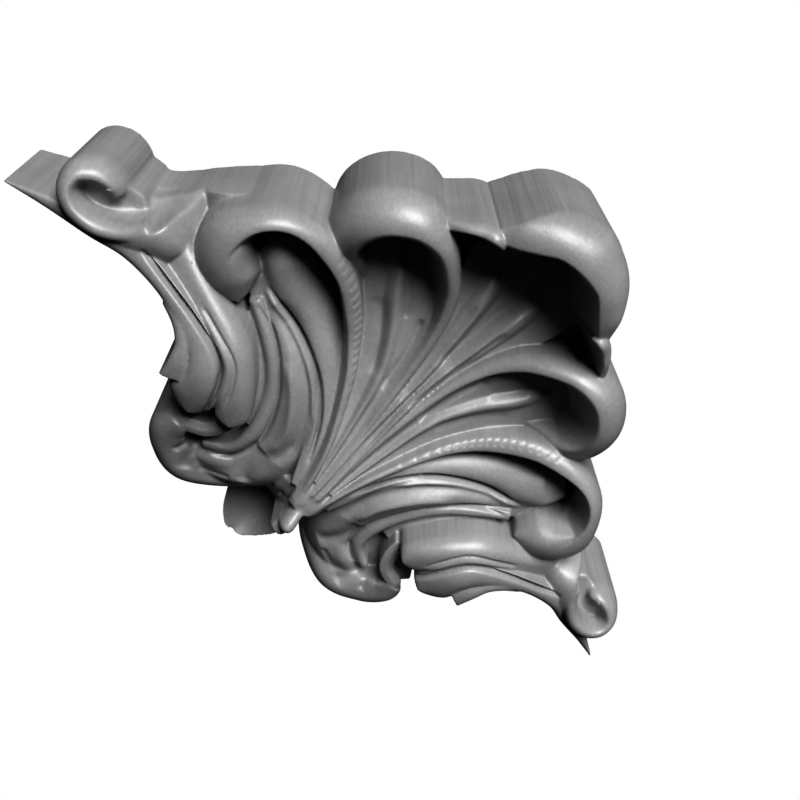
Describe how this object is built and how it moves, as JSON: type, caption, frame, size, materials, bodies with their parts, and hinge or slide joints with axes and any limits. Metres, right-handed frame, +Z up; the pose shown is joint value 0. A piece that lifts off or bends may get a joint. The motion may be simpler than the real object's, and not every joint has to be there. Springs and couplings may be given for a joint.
{
  "type": "carved onlay",
  "caption": "Corner onlay carved as a fan of acanthus leaves with scrolled ends and two pointed tails, flat at the back, fixed to a panel, door or furniture corner as ornament.",
  "frame": {"origin": "on the flat back, on the onlay's own line of symmetry, about midway between the two tails", "axes": "+Z up and +X to the right on the wall, -Y out of the wall towards the viewer; the line of symmetry runs through the corner leaf at +X +Z"},
  "size_m": [0.2595, 0.0708, 0.2595],
  "materials": {
    "painted_wood": "satin grey primer over carved wood"
  },
  "bodies": {
    "root": {"carved_onlay": "painted_wood"}
  },
  "joints": []
}
